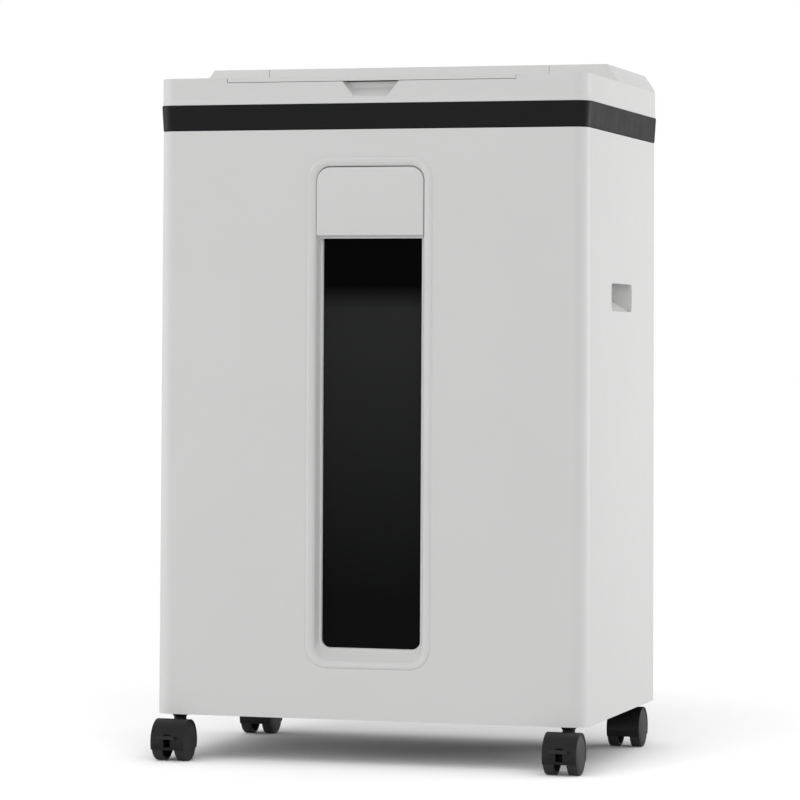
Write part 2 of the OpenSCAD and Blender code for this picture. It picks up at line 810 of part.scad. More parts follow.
feed_at = [-72, 0, 72];
module feed_shaft() color(zinc)
    rod(sync_x, plate_x + 8, feed_y, feed_z, feed_shaft_r);
module feed_rollers() color(black)
    for (x = feed_at) difference() {
        rod(x - 15, x + 15, feed_y, feed_z, feed_r);
        rod(x - 16, x + 16, feed_y, feed_z, feed_shaft_r);
    }
module feed_gear() color(white)
    gear(feed_n, feed_start, sync_x, gear_t, feed_y, feed_z, feed_shaft_r);
module feed_idler() color(white) {
    gear(idler_n, idler_start, sync_x, gear_t, idler_at[0], idler_at[1], 2);
    rod(sync_x, -plate_x + 1.5, idler_at[0], idler_at[1], feed_shaft_r);
}

// ---------------------------------------------------------------- bin

recess_z0 = under_z + recess_low;
recess_z1 = under_z + recess_high;
recess_r = 14;
recess_mid = (recess_z0 + recess_z1) / 2;
recess_h = recess_z1 - recess_z0;
rim_side = 5.3;
rim_foot = 12;

module recess_outline(grow, side, foot, r) {
    translate([0, recess_mid + foot / 2])
        round_rect(2 * (recess_half + grow - side), recess_h + 2 * grow - foot, r);
}

module recess_funnel(grow, y1) hull() {
    along_y(front_y, front_y + 0.5, $fn = soft_fn) recess_outline(grow, 0, 0, recess_r + grow);
    along_y(y1 - 0.5, y1, $fn = soft_fn)
        recess_outline(grow, rim_side, rim_foot, 8.5 + grow);
}

module bin_front_panel() color(white) difference() {
    panel_top = band_z - 0.7;
    union() {
        translate([0, 0, under_z]) linear_extrude(panel_top - under_z) {
            intersection() {
                difference() {
                    plan();
                    plan(wall);
                }
                translate([-half_w - 1, front_y - 1])
                    square([cab_w + 2, front_depth - gap + 1]);
            }
        }
        // top edge turned inwards
        translate([0, 0, panel_top - wall]) linear_extrude(wall) intersection() {
            plan();
            translate([-half_w, front_y]) square([cab_w, front_depth - gap]);
        }
        // raised bead and the recess inside it
        along_y(front_y - 0.8, front_y + 0.5)
            recess_outline(bead_w, 0, 0, recess_r + bead_w - 1.5);
        recess_funnel(2.5, window_y - 1.5);
        // rib that presses the bin switch
        block([bin_switch_x - 3, front_y + 2, deck_top + 7],
              [bin_switch_x + 3, seam_y + 2.6, deck_top + 14]);
        // frame behind the recess, against the tub
        along_y(front_y + wall, tub_front) recess_outline(8, 0, 0, 12);
    }
    recess_funnel(0, window_y - 1.5);
    along_y(front_y - 2, front_y + 0.5) recess_outline(0, 0, 0, recess_r);
    // seat of the window and the opening behind it
    along_y(window_y - 2, tub_front + 1) recess_outline(0, rim_side, rim_foot, 8.5);
    along_y(window_y, tub_front + 1) recess_outline(2, rim_side, rim_foot, 8.5);
    // hollow behind the bead
    along_y(front_y + wall, tub_front + 1)
        difference() {
            recess_outline(8.1, 0, 0, 12);
            recess_outline(3, 0, 0, 12);
        }
}

module bin_window() color([0.12, 0.12, 0.13, 0.6])
    along_y(window_y, window_y + window_t) recess_outline(1.7, rim_side, rim_foot, 8.2);

grip_t = 1.8;
grip_play = 0.8;
module grip_panel() color(white) {
    grip_z0 = under_z + grip_low;
    intersection() {
        along_y(front_y, front_y + grip_t)
            recess_outline(-grip_play, 0, 0, recess_r - grip_play);
        block([-half_w, front_y - 1, grip_z0], [half_w, front_y + 5, band_z]);
    }
    // ribs that carry it on the window
    both_sides() block([42, front_y + grip_t - 0.1, grip_z0 + 20],
                       [46, window_y, recess_z1 - 16]);
}

module bin_tub() color(grey) difference() {
    union() {
        translate([0, 0, tub_low]) linear_extrude(tub_high - tub_low) tub_plan(0);
        // carrying rims along the two sides
        both_sides() block([tub_half - 1, tub_front + 14, tub_high - 12],
                           [tub_half + 2.5, tub_back - 14, tub_high - 8]);
    }
    translate([0, 0, tub_low + tub_wall]) linear_extrude(tub_high) tub_plan(tub_wall);
    // clear view through the window
    along_y(tub_front - 3, tub_front + tub_wall + 1)
        translate([0, (tub_low + tub_high) / 2 + 16])
            round_rect(80, tub_high - tub_low - 104, 8);
}
module tub_plan(o) {
    translate([0, (tub_front + tub_back) / 2])
        round_rect(2 * (tub_half - o), tub_back - tub_front - 2 * o, 10 - o);
}

// ---------------------------------------------------------------- casters

// Each caster is drawn with its axle at the origin and the stem behind it.
module at_caster(sx, sy)
    translate([sx * stem_x, cab_y + sy * stem_y - trail, wheel_r]) children();

hood_low = 11.5 - wheel_r;
web_half = wheel_gap / 2 - wheel_t / 2 - 0.55;
cover_half = wheel_gap / 2 + wheel_t / 2 - 0.2;

module caster_hood(braked) color(black) difference() {
    union() {
        along_x(-cover_half, cover_half) intersection() {
            difference() {
                circle(hood_out);
                circle(hood_in);
            }
            translate([-40, hood_low]) square([80, 60]);
        }
        along_x(-web_half, web_half) intersection() {
            circle(hood_in + 0.5);
            translate([-40, hood_low]) square([80, 60]);
        }
        post(0, trail, -4, under_z - wheel_r - 0.3, 6);
    }
    post(0, trail, 0, 40, stem_r - 1);
    rod(-20, 20, 0, 0, axle_r);
    if (braked) block([-arm_half - 0.5, -30, -5], [arm_half + 0.5, -5.5, 7.5]);
    if (braked) rod(-web_half - 1, web_half + 1, brake_y, brake_z, 1.5);
}

module caster_pins() color(zinc) {
    post(0, trail, 0, under_z - wheel_r - 0.3, stem_r - 1);
    post(0, trail, under_z - wheel_r - 0.3, under_z - wheel_r + 30, stem_r);
    rod(-cover_half + 1, cover_half - 1, 0, 0, axle_r);
}

module caster_wheel(side) color(black)
    translate([side * wheel_gap / 2 - wheel_t / 2, 0, 0]) rotate([0, 90, 0]) difference() {
        rotate_extrude() polygon([
            [axle_r + fit, 0], [wheel_r - 1, 0], [wheel_r, 1], [wheel_r, wheel_t - 1],
            [wheel_r - 1, wheel_t], [axle_r + fit, wheel_t]]);
        translate([0, 0, side > 0 ? wheel_t - 2 : -1]) difference() {
            cylinder(h = 3, r = wheel_r - 4);
            cylinder(h = 3, r = 6.5);
        }
    }

module caster_brake() color(black) {
    along_x(-arm_half, arm_half) polygon([
        [brake_y + 3, brake_z - 2.5], [brake_y + 3, brake_z + 2.5], [-22.6, 6.4],
        [-22.6, 3.2], [brake_y - 2, brake_z - 2.5]]);
    rod(-web_half + 0.2, web_half - 0.2, brake_y, brake_z, 1.5 - fit);
    block([-9, -pedal_reach, 3.2], [9, -22.4, 6.4]);
}

module caster_fl_hood() at_caster(-1, -1) caster_hood(true);
module caster_fr_hood() at_caster(1, -1) caster_hood(true);
module caster_rl_hood() at_caster(-1, 1) caster_hood(false);
module caster_rr_hood() at_caster(1, 1) caster_hood(false);
module caster_fl_pins() at_caster(-1, -1) caster_pins();
module caster_fr_pins() at_caster(1, -1) caster_pins();
module caster_rl_pins() at_caster(-1, 1) caster_pins();
module caster_rr_pins() at_caster(1, 1) caster_pins();
module caster_fl_wheel_l() at_caster(-1, -1) caster_wheel(-1);
module caster_fl_wheel_r() at_caster(-1, -1) caster_wheel(1);
module caster_fr_wheel_l() at_caster(1, -1) caster_wheel(-1);
module caster_fr_wheel_r() at_caster(1, -1) caster_wheel(1);
module caster_rl_wheel_l() at_caster(-1, 1) caster_wheel(-1);
module caster_rl_wheel_r() at_caster(-1, 1) caster_wheel(1);
module caster_rr_wheel_l() at_caster(1, 1) caster_wheel(-1);
module caster_rr_wheel_r() at_caster(1, 1) caster_wheel(1);
module caster_fl_brake() at_caster(-1, -1) caster_brake();
module caster_fr_brake() at_caster(1, -1) caster_brake();

base_pan();
left_side_panel();
right_side_panel();
back_panel();
hand_holds();
machine_deck();
trim_band();
head_cover();
stack_tray();
control_panel();
indicator_lens();
control_board();
power_inlet();
motor();
cutter_side_plates();
tie_rods();
stripper_combs();
shaft_bushes();
panel_screws();
interlock_switches();
bin_runners();
lid();
lid_hinge_pins();
start_button();
stop_button();
reverse_button();
power_rocker();
front_cutter();
rear_cutter();
front_sync_gear();
rear_sync_gear();
drive_gear();
reduction_gear();
motor_pinion();
feed_shaft();
feed_rollers();
feed_gear();
feed_idler();
bin_tub();
bin_front_panel();
bin_window();
grip_panel();
caster_fl_hood();
caster_fl_pins();
caster_fl_wheel_l();
caster_fl_wheel_r();
caster_fl_brake();
caster_fr_hood();
caster_fr_pins();
caster_fr_wheel_l();
caster_fr_wheel_r();
caster_fr_brake();
caster_rl_hood();
caster_rl_pins();
caster_rl_wheel_l();
caster_rl_wheel_r();
caster_rr_hood();
caster_rr_pins();
caster_rr_wheel_l();
caster_rr_wheel_r();
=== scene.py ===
"""Looks of the office paper shredder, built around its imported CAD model.

Lengths in the shape code are millimetres in the CAD frame: +Z up, front towards -Y.
"""
import json
import math

import bmesh
import bpy
from mathutils import Euler, Matrix, Vector


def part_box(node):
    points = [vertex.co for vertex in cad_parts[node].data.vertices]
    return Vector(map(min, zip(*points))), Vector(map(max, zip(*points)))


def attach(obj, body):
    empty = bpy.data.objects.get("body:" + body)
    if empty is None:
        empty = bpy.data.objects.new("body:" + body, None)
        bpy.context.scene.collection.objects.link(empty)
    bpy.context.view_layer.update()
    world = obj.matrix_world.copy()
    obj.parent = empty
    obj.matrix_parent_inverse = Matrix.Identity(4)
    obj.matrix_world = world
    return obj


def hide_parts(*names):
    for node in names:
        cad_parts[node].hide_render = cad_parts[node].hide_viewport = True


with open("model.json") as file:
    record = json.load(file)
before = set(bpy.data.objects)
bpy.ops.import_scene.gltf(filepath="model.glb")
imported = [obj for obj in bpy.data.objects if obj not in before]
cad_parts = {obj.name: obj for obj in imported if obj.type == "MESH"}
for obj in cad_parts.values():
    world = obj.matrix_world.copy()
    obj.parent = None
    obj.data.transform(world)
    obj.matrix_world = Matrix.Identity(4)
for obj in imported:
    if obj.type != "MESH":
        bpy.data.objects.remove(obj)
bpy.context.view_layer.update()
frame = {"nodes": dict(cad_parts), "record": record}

MM = 0.001
nodes = frame["nodes"]
slots = {row["node"]: row["material_slot"] for row in frame["record"]["subparts"]}


def cad(node):
    """Lowest and highest corner of a CAD node, in mm."""
    low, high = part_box(node)
    return low / MM, high / MM


# ---------------------------------------------------------------- materials

class Finish:
    """A Principled material whose colour, roughness and relief vary over the surface."""

    def __init__(self, name, colour, rough, metal=0.0, **sockets):
        self.mat = bpy.data.materials.new(name)
        self.mat.use_nodes = True
        self.tree = self.mat.node_tree
        self.shader = self.tree.nodes["Principled BSDF"]
        self.colour = colour
        self.rough = rough
        self.set("Base Color", (*colour, 1))
        self.set("Roughness", rough)
        self.set("Metallic", metal)
        for socket, value in sockets.items():
            self.set(socket.replace("_", " "), value)
        self.where = self.node("ShaderNodeTexCoord").outputs["Object"]

    def set(self, socket, value):
        self.shader.inputs[socket].default_value = value

    def node(self, kind, **values):
        made = self.tree.nodes.new(kind)
        for key, value in values.items():
            if key[0].isupper():
                made.inputs[key.replace("_", " ")].default_value = value
            else:
                setattr(made, key, value)
        return made

    def link(self, a, b):
        self.tree.links.new(a, b)

    def coords(self, stretch):
        mapping = self.node("ShaderNodeMapping", Scale=stretch)
        self.link(self.where, mapping.inputs["Vector"])
        return mapping.outputs["Vector"]

    def noise(self, scale, detail=3.0, stretch=(1, 1, 1)):
        made = self.node("ShaderNodeTexNoise", Scale=scale, Detail=detail)
        self.link(self.coords(stretch), made.inputs["Vector"])
        return made.outputs["Fac"]

    def ranged(self, source, low, high, start=0.3, end=0.7):
        made = self.node("ShaderNodeMapRange", From_Min=start, From_Max=end,
                         To_Min=low, To_Max=high)
        self.link(source, made.inputs["Value"])
        return made.outputs["Result"]

    def mixed(self, factor, a, b):
        made = self.node("ShaderNodeMix", data_type="RGBA")
        self.link(factor, made.inputs["Factor"])
        for index, value in ((6, a), (7, b)):
            if isinstance(value, tuple):
                made.inputs[index].default_value = (*value, 1)
            else:
                self.link(value, made.inputs[index])
        return made.outputs[2]

    def tint(self, amount, scale=9.0, stretch=(1, 1, 1)):
        """Slow drift of the colour."""
        dark = tuple(c * (1 - amount) for c in self.colour)
        light = tuple(min(1.0, c * (1 + amount)) for c in self.colour)
        self.shade = self.mixed(self.ranged(self.noise(scale, 4.0, stretch), 0, 1), dark, light)
        self.link(self.shade, self.shader.inputs["Base Color"])
        return self

    def gloss(self, spread, scale=45.0, stretch=(1, 1, 1)):
        """Uneven gloss, as moulding and handling leave it."""
        value = self.ranged(self.noise(scale, 3.0, stretch),
                            self.rough - spread, self.rough + spread)
        self.link(value, self.shader.inputs["Roughness"])
        return self

    def relief(self, height, depth):
        bump = self.node("ShaderNodeBump", Strength=1.0, Distance=depth * MM)
        self.link(height, bump.inputs["Height"])
        last = getattr(self, "bump", None)
        if last:
            self.link(last, bump.inputs["Normal"])
        self.bump = bump.outputs["Normal"]
        self.link(self.bump, self.shader.inputs["Normal"])
        return self

    def grain(self, scale, depth, stretch=(1, 1, 1)):
        """Fine relief of a mould, a brush or a grinding wheel."""
        return self.relief(self.noise(scale, 2.0, stretch), depth)

    def worn(self, colour, amount=0.6):
        """Edges rubbed towards another colour."""
        edge = self.node("ShaderNodeNewGeometry").outputs["Pointiness"]
        factor = self.ranged(edge, 0, amount, 0.53, 0.62)
        self.shade = self.mixed(factor, self.shade, colour)
        self.link(self.shade, self.shader.inputs["Base Color"])
        return self


def plastic(name, colour, rough, tint=0.04, grain=1500.0, depth=0.012, **sockets):
    made = Finish(name, colour, rough, **sockets)
    return made.tint(tint).gloss(0.05).grain(grain, depth)


def metal(name, colour, rough, stretch=(1, 1, 1), grain=700.0, depth=0.01, tint=0.08):
    made = Finish(name, colour, rough, 1.0)
    return made.tint(tint, 30.0, stretch).gloss(0.08, 120.0, stretch).grain(grain, depth, stretch)


ALONG_X = (0.04, 1, 1)      # stretches a grain into brush marks
ROUND_X = (1, 0.1, 0.1)     # or into grinding marks round a shaft


def make_finishes():
    made = {
        "white_shell": plastic("white_shell", (0.78, 0.78, 0.775), 0.45, 0.008, 1300.0, 0.006,
                               Specular_IOR_Level=0.25),
        "black_trim": plastic("black_trim", (0.0090, 0.0093, 0.0103), 0.42, 0.15, 1600.0, 0.006,
                              Specular_IOR_Level=0.14).worn((0.02, 0.02, 0.022), 0.5),
        "base_black": plastic("base_black", (0.018, 0.018, 0.019), 0.55, 0.15, 900.0, 0.02)
        .worn((0.045, 0.045, 0.045), 0.4),
        "grey_tub": plastic("grey_tub", (0.16, 0.165, 0.175), 0.5, 0.05, 700.0, 0.03)
        .worn((0.26, 0.265, 0.27), 0.4),
        "sheet_steel": metal("sheet_steel", (0.55, 0.56, 0.58), 0.36, ALONG_X),
        "cutter_steel": metal("cutter_steel", (0.40, 0.41, 0.43), 0.28, ROUND_X),
        "bright_steel": metal("bright_steel", (0.62, 0.63, 0.65), 0.24, ALONG_X, 900.0, 0.004),
        "gear_steel": metal("gear_steel", (0.36, 0.36, 0.37), 0.42, grain=1600.0, depth=0.015),
        "gear_nylon": plastic("gear_nylon", (0.72, 0.71, 0.66), 0.45, 0.03,
                              Subsurface_Weight=0.15, Subsurface_Scale=0.002),
        "bush_bronze": metal("bush_bronze", (0.55, 0.38, 0.18), 0.38, grain=1500.0, depth=0.01),
        "roller_rubber": plastic("roller_rubber", (0.045, 0.045, 0.047), 0.75, 0.12, 600.0, 0.05),
        "motor_paint": plastic("motor_paint", (0.075, 0.08, 0.085), 0.45, 0.1, 500.0, 0.02)
        .worn((0.3, 0.3, 0.31), 0.4),
        "board_green": plastic("board_green", (0.02, 0.12, 0.05), 0.35, 0.1, 300.0, 0.03),
        "lens_clear": plastic("lens_clear", (0.45, 0.62, 0.70), 0.15, 0.03, 400.0, 0.01,
                              Transmission_Weight=0.6),
        "button_green": plastic("button_green", (0.08, 0.38, 0.14), 0.42, 0.05),
        "button_red": plastic("button_red", (0.48, 0.045, 0.035), 0.42, 0.05),
        "button_grey": plastic("button_grey", (0.35, 0.36, 0.37), 0.42, 0.05),
        "rocker_red": plastic("rocker_red", (0.34, 0.02, 0.018), 0.2, 0.08),
        "caster_nylon": plastic("caster_nylon", (0.016, 0.016, 0.017), 0.45, 0.12, 900.0, 0.02,
                                Specular_IOR_Level=0.25).worn((0.04, 0.04, 0.042), 0.45),
        "caster_tread": plastic("caster_tread", (0.036, 0.036, 0.037), 0.5, 0.12, 900.0, 0.02,
                                Specular_IOR_Level=0.3).worn((0.08, 0.08, 0.08), 0.35),
        "smoked_window": smoked(),
    }
    return {name: finish.mat for name, finish in made.items()}


TUB_TOP = 58    # the window's colour is painted near black above this height below the grip, a painted shadow, and painted paler below it, painted light; the height stands for the bin's rim behind the window


def smoked():
    """Dark polished sheet, opaque. Its colour is painted paler from near its foot up towards the
    bin's rim, painted light, and painted near black above the rim, a painted shadow."""
    glass = Finish("smoked_window", (0.0085, 0.0088, 0.0095), 0.16, IOR=1.3,
                   Specular_IOR_Level=0.03)
    split = glass.node("ShaderNodeSeparateXYZ")
    glass.link(glass.where, split.inputs["Vector"])
    foot, rim = cad("bin_window")[0].z, cad("grip_panel")[0].z - TUB_TOP
    # painted light: the colour grows paler from near the foot up towards the rim
    painted_light_fade = glass.ranged(split.outputs["Z"], 0, 1, (foot + 50) * MM, (rim - 50) * MM)
    painted_light = glass.mixed(painted_light_fade, (0.0065, 0.0067, 0.0072), (0.0245, 0.025, 0.026))
    # painted shadow: the colour goes near black above the rim
    shadow = glass.ranged(split.outputs["Z"], 0, 1, (rim - 12) * MM, (rim + 10) * MM)
    glass.shade = glass.mixed(shadow, painted_light, (0.0012, 0.0012, 0.0014))
    glass.link(glass.shade, glass.shader.inputs["Base Color"])
    return glass.gloss(0.03, 25.0).grain(60.0, 0.02)


finishes = make_finishes()


# ---------------------------------------------------------------- mesh helpers

CORNER_STEPS = 10   # chords in a rounded corner


class Shape:
    """Rings of points, skinned into a mesh. Points are in mm."""

    def __init__(self):
        self.points, self.faces = [], []

    def ring(self, points):
        start = len(self.points)
        self.points += [tuple(p) for p in points]
        return list(range(start, len(self.points)))

    def skin(self, a, b, closed=True):
        count = len(a)
        for i in range(count if closed else count - 1):
            j = (i + 1) % count
            self.faces.append((a[i], a[j], b[j], b[i]))

    def loft(self, rings, closed=True):
        made = [self.ring(r) for r in rings]
        for a, b in zip(made, made[1:]):
            self.skin(a, b, closed)
        return made

    def cap(self, ring):
        self.faces.append(tuple(ring))

    def block(self, low, high):
        (x0, y0, z0), (x1, y1, z1) = low, high
        a, b = self.loft([[(x0, y0, z), (x1, y0, z), (x1, y1, z), (x0, y1, z)] for z in (z0, z1)])
        self.cap(a)
        self.cap(b)

    def turned(self, section, at, axis="x", count=48):
        """A closed section of (radius, place along the axis) turned about that axis."""
        rings = []
        for k in range(count):
            a = 2 * math.pi * k / count
            c, s = math.cos(a), math.sin(a)
            rings.append([at + (Vector((p, r * c, r * s)) if axis == "x"
                                else Vector((r * c, r * s, p))) for r, p in section])
        made = [self.ring(r) for r in rings]
        for a, b in zip(made, made[1:] + made[:1]):
            self.skin(a, b)

    def made(self, name, body, slot, *stands_for, facing=None):
        """The finished piece. An open skin gives the way its largest face looks."""
        mesh = bpy.data.meshes.new(name)
        mesh.from_pydata([(x * MM, y * MM, z * MM) for x, y, z in self.points], [], self.faces)
        work = bmesh.new()
        work.from_mesh(mesh)
        bmesh.ops.remove_doubles(work, verts=work.verts, dist=1e-7)
        bmesh.ops.recalc_face_normals(work, faces=work.faces)
        largest = max(work.faces, key=lambda face: face.calc_area())
        if facing is not None and largest.normal.dot(Vector(facing)) < 0:
            bmesh.ops.reverse_faces(work, faces=work.faces)
        for face in work.faces:
            face.smooth = True
        work.to_mesh(mesh)
        work.free()
        obj = bpy.data.objects.new(name, mesh)
        bpy.context.scene.collection.objects.link(obj)
        mesh.materials.append(finishes[slot])
        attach(obj, body)
        if stands_for:
            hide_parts(*stands_for)
        return obj


def arc(centre, r, start, end, count):
    """Points on an arc, both ends included. Angles in degrees."""
    step = (end - start) / count
    return [(centre[0] + r * math.cos(math.radians(start + step * k)),
             centre[1] + r * math.sin(math.radians(start + step * k))) for k in range(count + 1)]


def rounded(x0, x1, z0, z1, low_r, high_r):
    """A rounded rectangle, counter-clockwise from its lower right corner."""
    return (arc((x1 - low_r, z0 + low_r), low_r, -90, 0, CORNER_STEPS)
            + arc((x1 - high_r, z1 - high_r), high_r, 0, 90, CORNER_STEPS)
            + arc((x0 + high_r, z1 - high_r), high_r, 90, 180, CORNER_STEPS)
            + arc((x0 + low_r, z0 + low_r), low_r, 180, 270, CORNER_STEPS))


def border(x0, x1, z0, z1, inner):
    """Points on a rectangle, one for each point of a rounded outline inside it. The two
    upright sides carry only their ends."""
    points = []
    for k, (x, z) in enumerate(inner):
        corner, step = divmod(k, CORNER_STEPS + 1)
        edge_x = x1 if corner in (0, 1) else x0
        edge_z = z0 if corner in (0, 3) else z1
        share = step / CORNER_STEPS
        if corner in (0, 2):
            share = 1 - share
        points.append((edge_x + (x - edge_x) * share, edge_z))
    return points


def modifier(obj, kind, **values):
    made = obj.modifiers.new(kind.lower(), kind)
    for key, value in values.items():
        setattr(made, key, value)
    return made


def even_shading(obj):
    modifier(obj, "WEIGHTED_NORMAL", mode="FACE_AREA_WITH_ANGLE", keep_sharp=True)


def rounded_edges(obj, width, angle=35):
    modifier(obj, "BEVEL", width=width * MM, segments=3, limit_method="ANGLE",
             angle_limit=math.radians(angle), miter_outer="MITER_ARC")
    even_shading(obj)


def thick(obj, depth):
    """Gives an open skin its wall, behind the face that shows."""
    modifier(obj, "SOLIDIFY", thickness=depth * MM, offset=-1)


SHARP = 32          # a CAD mesh shows an edge where it turns by more degrees than this


def crisp(obj, angle):
    """Smooth shading, broken at edges sharper than the angle."""
    modifier(obj, "EDGE_SPLIT", split_angle=math.radians(angle))


def soften(obj, width, segments=2):
    """Merges the flat faces of a welded CAD mesh and rounds its sharp edges."""
    modifier(obj, "DECIMATE", decimate_type="DISSOLVE", angle_limit=math.radians(0.5))
    modifier(obj, "BEVEL", width=width * MM, segments=segments, limit_method="ANGLE",
             angle_limit=math.radians(SHARP), miter_outer="MITER_ARC")
    modifier(obj, "WEIGHTED_NORMAL", mode="FACE_AREA", keep_sharp=True)


# ---------------------------------------------------------------- where things are

head_low, head_high = cad("head_cover")
band_low, band_high = cad("trim_band")
side_low, side_high = cad("right_side_panel")
_, front_high = cad("bin_front_panel")
grip_low, grip_high = cad("grip_panel")
glass_low, _ = cad("bin_window")
hold_low, hold_high = cad("hand_holds")

half_w = head_high.x
front_y = head_low.y
back_y = head_high.y
under_z = side_low.z
band_z = side_high.z
FRONT_R = 15.0      # the cabinet's upright corners, in front and behind
REAR_R = 8.0
FLAT_X = half_w - FRONT_R
SPREAD = 2.6        # the sides swell by this much towards the bottom
LEAN = 0.7          # and lie this much inside the nominal size at the top
PANEL_TOP = band_z + 0.1
GRIP_PLAY = 0.8     # round the grip, in the recess


def drafted(points):
    """The moulding draft of the cabinet's corners and sides, which flare towards the foot."""
    moved = []
    for x, y, z in points:
        share = max(0.0, (abs(x) - FLAT_X) / FRONT_R)
        height = min(1.0, max(0.0, (z - under_z) / (band_z - under_z)))
        shift = share * (SPREAD * (1 - height) ** 3 - LEAN)
        moved.append((x + (shift if x > 0 else -shift), y, z))
    return moved


# ---------------------------------------------------------------- front panel

# Across the raised bead, from the panel's face to the recess: distance outside the
# recess's edge, and depth behind the face.
BEAD = [(10.0, 0), (9.4, 0.03), (9.0, 0.14), (8.65, 0.32), (8.3, 0.42), (8.0, 0.36), (7.7, 0.1),
        (7.4, -0.24), (7.05, -0.54), (6.6, -0.76), (5.9, -0.88), (4.8, -0.88), (3.7, -0.76),
        (2.7, -0.48), (1.8, -0.06), (1.0, 0.5), (0.3, 1.2), (-0.3, 2.1)]
RECESS_R = 14.0     # corners of the recess
FUNNEL_FOOT = 10.3  # the recess reaches this much below the window
FRONT_WALL = 2.4
SEAM = 0.4          # between the front panel and the side panels
RIB_X, RIB_Z = -165.0, 500.0    # middle and foot of the rib that trips a switch
# From the bead to the window: how far the sides and the foot have moved in, and depth.
FUNNEL = [(0.7, 1.3, 3.2), (1.5, 4.2, 6.0), (2.3, 7.2, 8.7), (2.75, 8.6, 9.9),
          (3.0, 9.15, 10.35), (3.2, 9.45, 10.5), (3.42, 9.7, 10.5), (3.65, 9.9, 10.34),
          (3.9, 10.15, 10.2), (4.2, 10.45, 10.2), (4.45, 10.7, 10.36), (4.6, 10.9, 10.7),
          (4.65, 11.0, 11.2), (4.65, 11.0, 12.6)]


def front_panel():
    """The bin's tall front, with the bead, the recess for grip and window, and a switch rib."""
    recess_half = grip_high.x + GRIP_PLAY
    z_low, z_high = glass_low.z - FUNNEL_FOOT, grip_high.z + GRIP_PLAY
    shape = Shape()

    def ring(side, foot, r, y):
        return [(x, front_y + y, z) for x, z in rounded(
            side - recess_half, recess_half - side, z_low + foot, z_high - min(side, 0), r, r)]

    rings = [ring(-out, -out, RECESS_R + max(out - 1.5, 0), y) for out, y in BEAD]
    rings += [ring(side, foot, RECESS_R - 1.25 * side, y) for side, foot, y in FUNNEL]
    made = shape.loft(rings)
    edge = border(-FLAT_X, FLAT_X, under_z, PANEL_TOP, [(x, z) for x, _, z in rings[0]])
    shape.skin(shape.ring((x, front_y, z) for x, z in edge), made[0])
    # rounded corners, and the top edge turned inwards
    right = arc((FLAT_X, front_y + FRONT_R), FRONT_R, -90, 0, 12)[:-1]
    right.append((half_w, side_low.y - SEAM))
    left = [(-x, y) for x, y in right[::-1]]
    for turn in (left, right):
        shape.loft([drafted((x, y, z) for x, y in turn) for z in (under_z, PANEL_TOP)],
                   closed=False)
    top = [(x, front_y) for x, z in edge[::-1] if z == PANEL_TOP]
    shape.cap(shape.ring(drafted((x, y, PANEL_TOP) for x, y in left + top[1:-1] + right)))
    panel = shape.made("front_panel_skin", "bin", "white_shell", "bin_front_panel",
                       facing=(0, -1, 0))
    thick(panel, FRONT_WALL)
    rounded_edges(panel, 0.4, angle=55)

    rib = Shape()
    rib.block((RIB_X - 3, front_y + 1.5, RIB_Z), (RIB_X + 3, front_high.y, RIB_Z + 7))
    rounded_edges(rib.made("switch_rib", "bin", "white_shell"), 0.6)


GRIP_R = 13.3       # the grip's upper corners
GRIP_LOW_R = 1.0    # and its lower ones
GRIP_POSTS = 44.0   # from the middle to each of the two posts that hold it
# Edge of the grip, from its back to its face: how far in from its outline, and depth.
# Its lower edge turns back into a lip and has a drop and a depth of its own.
GRIP_EDGE = [(1.2, 3.0, -6.0, 3.0), (0.6, 3.0, -5.5, 8.9), (0.2, 2.6, 1.9, 9.0),
             (0.0, 2.3, 2.35, 8.8), (0.0, 2.0, 2.5, 8.4), (0.0, 1.8, 2.3, 8.0),
             (0.03, 1.6, 0.9, 7.8), (0.07, 1.4, 0.2, 7.2), (0.15, 1.15, 0.1, 2.0),
             (0.35, 0.8, 0.0, 1.2), (0.75, 0.42, -0.15, 0.6), (1.4, 0.14, -0.5, 0.2),
             (2.3, 0.0, -1.2, 0.0)]


def grip():
    """The flush plate in the top of the recess, held by two posts."""
    shape = Shape()
    rings = []
    for inset, depth, drop, lip_depth in GRIP_EDGE:
        outline = rounded(grip_low.x + inset, grip_high.x - inset, grip_low.z - drop,
                          grip_high.z - inset, GRIP_LOW_R, GRIP_R - inset)
        points = []
        for k, (x, z) in enumerate(outline):
            corner, step = divmod(k, CORNER_STEPS + 1)
            lowered = {0: 1 - step / CORNER_STEPS, 3: step / CORNER_STEPS}.get(corner, 0)
            points.append((x, front_y + depth + (lip_depth - depth) * lowered, z))
        rings.append(points)
    made = shape.loft(rings)
    shape.cap(made[0])
    shape.cap(made[-1])
    for x in (-GRIP_POSTS, GRIP_POSTS):
        shape.block((x - 2, front_y + 2, grip_low.z + 20), (x + 2, grip_high.y, grip_high.z - 16))
    piece = shape.made("grip_skin", "bin", "white_shell", "grip_panel")
    crisp(piece, 50)


# ---------------------------------------------------------------- sides and band

SIDE_WALL = 3.0
HOLD_WALL = 2.5     # of the pocket behind the opening
HOLD_H = 27.0       # height of the opening
HOLD_R = 5.0        # and its corners


def side_panel(name, node, mirror):
    """A side with its hand-hold opening and its share of the rounded rear corner."""
    shape = Shape()
    foot = hold_low.z + HOLD_WALL
    hole = rounded(hold_low.y + HOLD_WALL, hold_high.y - HOLD_WALL, foot, foot + HOLD_H,
                   HOLD_R, HOLD_R)
    edge = border(side_low.y, back_y - REAR_R, under_z, PANEL_TOP, hole)
    shape.loft([drafted((half_w, y, z) for y, z in ring) for ring in (edge, hole)])
    turn = arc((half_w - REAR_R, back_y - REAR_R), REAR_R, 0, 90, 8)
    turn.append((FLAT_X + 0.02, back_y))
    shape.loft([drafted((x, y, z) for x, y in turn) for z in (under_z, PANEL_TOP)], closed=False)
    shape.points = [(mirror * x, y, z) for x, y, z in shape.points]
    piece = shape.made(name, "cabinet", "white_shell", node, facing=(mirror, 0, 0))
    thick(piece, SIDE_WALL)
    rounded_edges(piece, 0.3)


